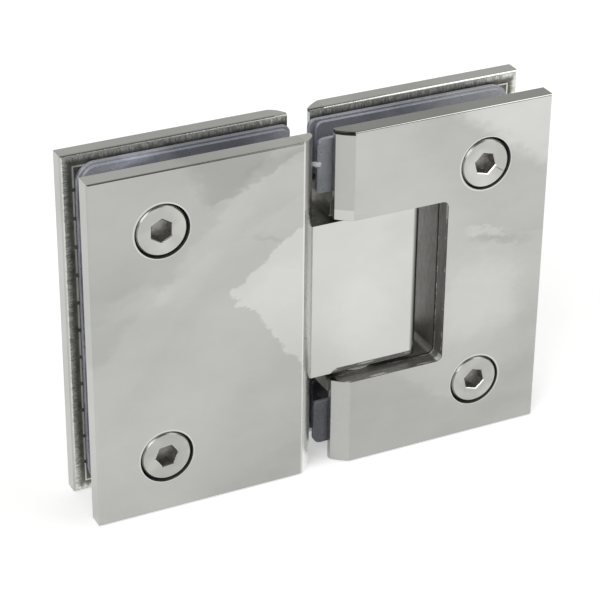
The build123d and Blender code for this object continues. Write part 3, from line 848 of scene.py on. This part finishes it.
print("a working metal is two tones, a roughness and a grain")

# %% Working metal finishes
ground_steel = working_finish(
    "ground_steel", (0.42, 0.42, 0.43), (0.56, 0.56, 0.57), 1.0, 0.30, 300, 0.02 * mm, (1, 1, 14)
)
zinc_steel = working_finish(
    "zinc_steel", (0.44, 0.45, 0.45), (0.58, 0.58, 0.57), 1.0, 0.38, 700, 0.03 * mm
)
oiled_wire = working_finish(
    "oiled_wire", (0.16, 0.16, 0.17), (0.30, 0.30, 0.32), 1.0, 0.32, 900, 0.01 * mm
)
sintered_bronze = working_finish(
    "sintered_bronze", (0.36, 0.23, 0.10), (0.55, 0.38, 0.19), 1.0, 0.45, 1800, 0.03 * mm
)
washer_plastic = working_finish(
    "washer_plastic", (0.72, 0.72, 0.69), (0.82, 0.82, 0.79), 0.0, 0.50, 600, 0.02 * mm
)
finish_nodes(ground_steel, "hinge_pin", "detent_follower", "cap_pin")
finish_nodes(zinc_steel, "block_screws", "keeper_screws", "spring_cap")
finish_nodes(zinc_steel, "upper_pin_keeper", "lower_pin_keeper")
finish_nodes(oiled_wire, "lower_detent_spring", "upper_detent_spring")
finish_nodes(sintered_bronze, "upper_bush", "lower_bush")
finish_nodes(washer_plastic, "upper_washer", "lower_washer")

# %% [markdown]
# The mould of the front door gasket was filled through its left edge. The runner was snapped off
# and left a small white nib, which shows in the seam. It is a torn scrap and no part of the
# design, so it is made here and not with the solids. It starts as a ball on the gasket's edge.

# %% Start the moulding nib
nib_size = 0.8 * mm
nib_below_top = 6.2 * mm
gasket_low, gasket_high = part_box("door_front_gasket")
nib_middle = Vector(
    (gasket_low[0] + 0.1 * mm, gasket_low[1] + 0.2 * mm, gasket_high[2] - nib_below_top)
)
bpy.ops.object.select_all(action="DESELECT")
bpy.ops.mesh.primitive_uv_sphere_add(
    segments=20, ring_count=12, radius=nib_size, location=nib_middle
)
nib = bpy.context.object
nib.name = "gasket_nib"
bpy.ops.object.transform_apply(location=True, rotation=False, scale=False)
print("nib starts with", len(nib.data.vertices), "points")

# %% [markdown]
# Transform operators act on the points that are selected, so a helper first picks points by their
# place. Resizing flattens the ball against the gasket, and its outer end is pulled out and turned
# up, as the runner broke away. Moving every point a little at random, from a fixed seed, makes
# the break ragged.

# %% Shape the nib
def pick_points(mesh_object, chosen):
    bpy.ops.object.mode_set(mode="EDIT")
    bpy.ops.mesh.select_mode(type="VERT")
    bpy.ops.mesh.select_all(action="DESELECT")
    shape = bmesh.from_edit_mesh(mesh_object.data)
    picked = [vertex for vertex in shape.verts if chosen(vertex.co)]
    for vertex in picked:
        vertex.select = True
    shape.select_flush(True)
    bmesh.update_edit_mesh(mesh_object.data)
    return len(picked)


end_reach = 0.7 * nib_size
pick_points(nib, lambda point: True)
bpy.ops.transform.resize(value=(1.35, 0.75, 0.85), center_override=nib_middle)
end_points = pick_points(nib, lambda point: point.x < nib_middle.x - end_reach)
bpy.ops.transform.translate(value=(-0.5 * nib_size, 0.0, 0.35 * nib_size))
root_points = pick_points(nib, lambda point: point.x > nib_middle.x + end_reach)
bpy.ops.transform.resize(value=(1.0, 1.0, 1.5), center_override=nib_middle)
bpy.ops.mesh.select_all(action="SELECT")
bpy.ops.transform.vertex_random(offset=0.22 * nib_size, uniform=0.4, normal=0.6, seed=7)
bpy.ops.mesh.vertices_smooth(factor=0.5, repeat=1)
bpy.ops.object.mode_set(mode="OBJECT")
bpy.ops.object.shade_smooth()
print("nib:", end_points, "points pulled out,", root_points, "spread at the root")

# %% Nib finish
nib_plastic, nib_tree, nib_shader, nib_texture = start_finish("white_nib")
nib_grain = noise(nib_tree, nib_texture.outputs["Object"], 2500, 3.0)
nib_tone = blend_tone(nib_tree, nib_grain, (0.55, 0.57, 0.60), (0.86, 0.88, 0.90))
wire(nib_tree, nib_shader.inputs["Base Color"], nib_tone)
wire(nib_tree, nib_shader.inputs["Roughness"], 0.5)
relief(nib_tree, nib_shader, nib_grain, 0.08 * mm, 0.6)
nib.data.materials.append(nib_plastic)
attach(nib, "door_half")
print("nib at", tuple(round(v / mm, 1) for v in nib_middle), "mm")

# %% [markdown]
# The studio is a wide white floor in a grey room. Polished metal shows whatever stands round it,
# and the floor fills most of the reflections. Stronger lamps would whiten it, but they would
# bleach the hinge too. So the floor is lifted to white for the camera and for mirrored rays only,
# which adds no light to the hinge and keeps its shadow.

# %% Floor
floor_size, floor_height, floor_lift = 8.0, -0.2 * mm, 0.44
bpy.ops.object.select_all(action="DESELECT")
bpy.ops.mesh.primitive_plane_add(size=floor_size, location=(0, 0, floor_height))
floor = bpy.context.object
floor.name = "studio_floor"
paper, paper_tree, paper_shader, paper_texture = start_finish("studio_paper")
fibre = noise(paper_tree, paper_texture.outputs["Object"], 40, 3.0)
paper_tone = blend_tone(paper_tree, fibre, (0.72, 0.72, 0.72), (0.76, 0.76, 0.76))
wire(paper_tree, paper_shader.inputs["Base Color"], paper_tone)
wire(paper_tree, paper_shader.inputs["Roughness"], 0.9)
wire(paper_tree, paper_shader.inputs["Specular IOR Level"], 0.1)
rays = paper_tree.nodes.new("ShaderNodeLightPath")
seen = sums(paper_tree, "MAXIMUM", rays.outputs["Is Camera Ray"], rays.outputs["Is Glossy Ray"])
seen = sums(paper_tree, "MAXIMUM", seen, rays.outputs["Is Transmission Ray"])
lift = product(paper_tree, seen, floor_lift)
wire(paper_tree, paper_shader.inputs["Emission Color"], (1.0, 1.0, 1.0))
wire(paper_tree, paper_shader.inputs["Emission Strength"], lift)
floor.data.materials.append(paper)
print("floor:", floor_size, "m square")

# %% [markdown]
# The room is paler behind the hinge than behind the camera. The flat tops of the plates mirror
# the pale side. The rounded edges sweep past the dark side, which draws a thin dark line along
# them.

# %% Room light
front_grey, back_grey = (0.20, 0.20, 0.20), (0.72, 0.72, 0.70)
world = bpy.data.worlds.new("studio_room")
bpy.context.scene.world = world
world.use_nodes = True
room = world.node_tree
background = room.nodes["Background"]
direction = room.nodes.new("ShaderNodeTexCoord").outputs["Generated"]
pale_side = ramp(room, coordinates(room, direction)[1], -0.35, 0.55)
wire(room, background.inputs["Color"], blend_tone(room, pale_side, front_grey, back_grey))
wire(room, background.inputs["Strength"], 1.0)
print("room:", front_grey[0], "in front,", back_grey[0], "behind")

# %% [markdown]
# Two soft panels light the hinge. The one on the left gives the floor its shadow. The one on the
# right hangs level, well to the side, where only the rounded edges of the door half mirror it. It
# turns the thin dark line along them white.

# %% Lamps
def panel(name, place, aim, side, power):
    lamp = bpy.data.lights.new(name, "AREA")
    lamp.shape = "RECTANGLE"
    lamp.size = side
    lamp.size_y = side
    lamp.energy = power
    holder = bpy.data.objects.new(name, lamp)
    bpy.context.scene.collection.objects.link(holder)
    holder.location = place
    holder.rotation_euler = (Vector(aim) - Vector(place)).to_track_quat("-Z", "Y").to_euler()
    print(name, "of", power, "W,", side, "m square")


panel("left_panel", place=(-1.3, -0.9, 1.1), aim=(0, 0, 0.04), side=1.2, power=22)
panel("right_panel", place=(0.645, -0.35, 0.62), aim=(0.645, -0.35, 0.0), side=0.7, power=4.2)

# %% [markdown]
# The camera stands to the front left, a little above the hinge, with a long lens so the edges
# stay nearly parallel. It is placed by its angle round the hinge, its height angle and its
# distance. Its three axes then make the columns of its matrix.

# %% Camera direction
aim_point = Vector((-0.00583, -0.00749, 0.04747))
camera_turn = math.radians(26.49)
camera_rise = math.radians(28.54)
camera_roll = math.radians(-0.6)
camera_distance = 0.5329
forward = Vector(
    (
        math.sin(camera_turn) * math.cos(camera_rise),
        math.cos(camera_turn) * math.cos(camera_rise),
        -math.sin(camera_rise),
    )
)
right = Vector((math.cos(camera_turn), -math.sin(camera_turn), 0.0))
down = forward.cross(right)
turned_right = math.cos(camera_roll) * right + math.sin(camera_roll) * down
turned_down = -math.sin(camera_roll) * right + math.cos(camera_roll) * down
axes = Matrix((turned_right, -turned_down, -forward)).transposed().to_4x4()
print("camera looks along", tuple(round(v, 3) for v in forward))

# %% Camera
lens_length = 133.98
camera_data = bpy.data.cameras.new("studio_camera")
camera_data.lens = lens_length
camera_data.sensor_width = 36.0
camera_data.clip_start = 0.01
camera_data.clip_end = 20.0
camera = bpy.data.objects.new("studio_camera", camera_data)
bpy.context.scene.collection.objects.link(camera)
camera.matrix_world = Matrix.Translation(aim_point - forward * camera_distance) @ axes
bpy.context.scene.camera = camera
print("camera at", tuple(round(v, 3) for v in camera.location), "with a lens of", lens_length, "mm")

# %% [markdown]
# Last, the colours are shown as they are written.

# %% Finish
bpy.context.scene.view_settings.view_transform = "Standard"
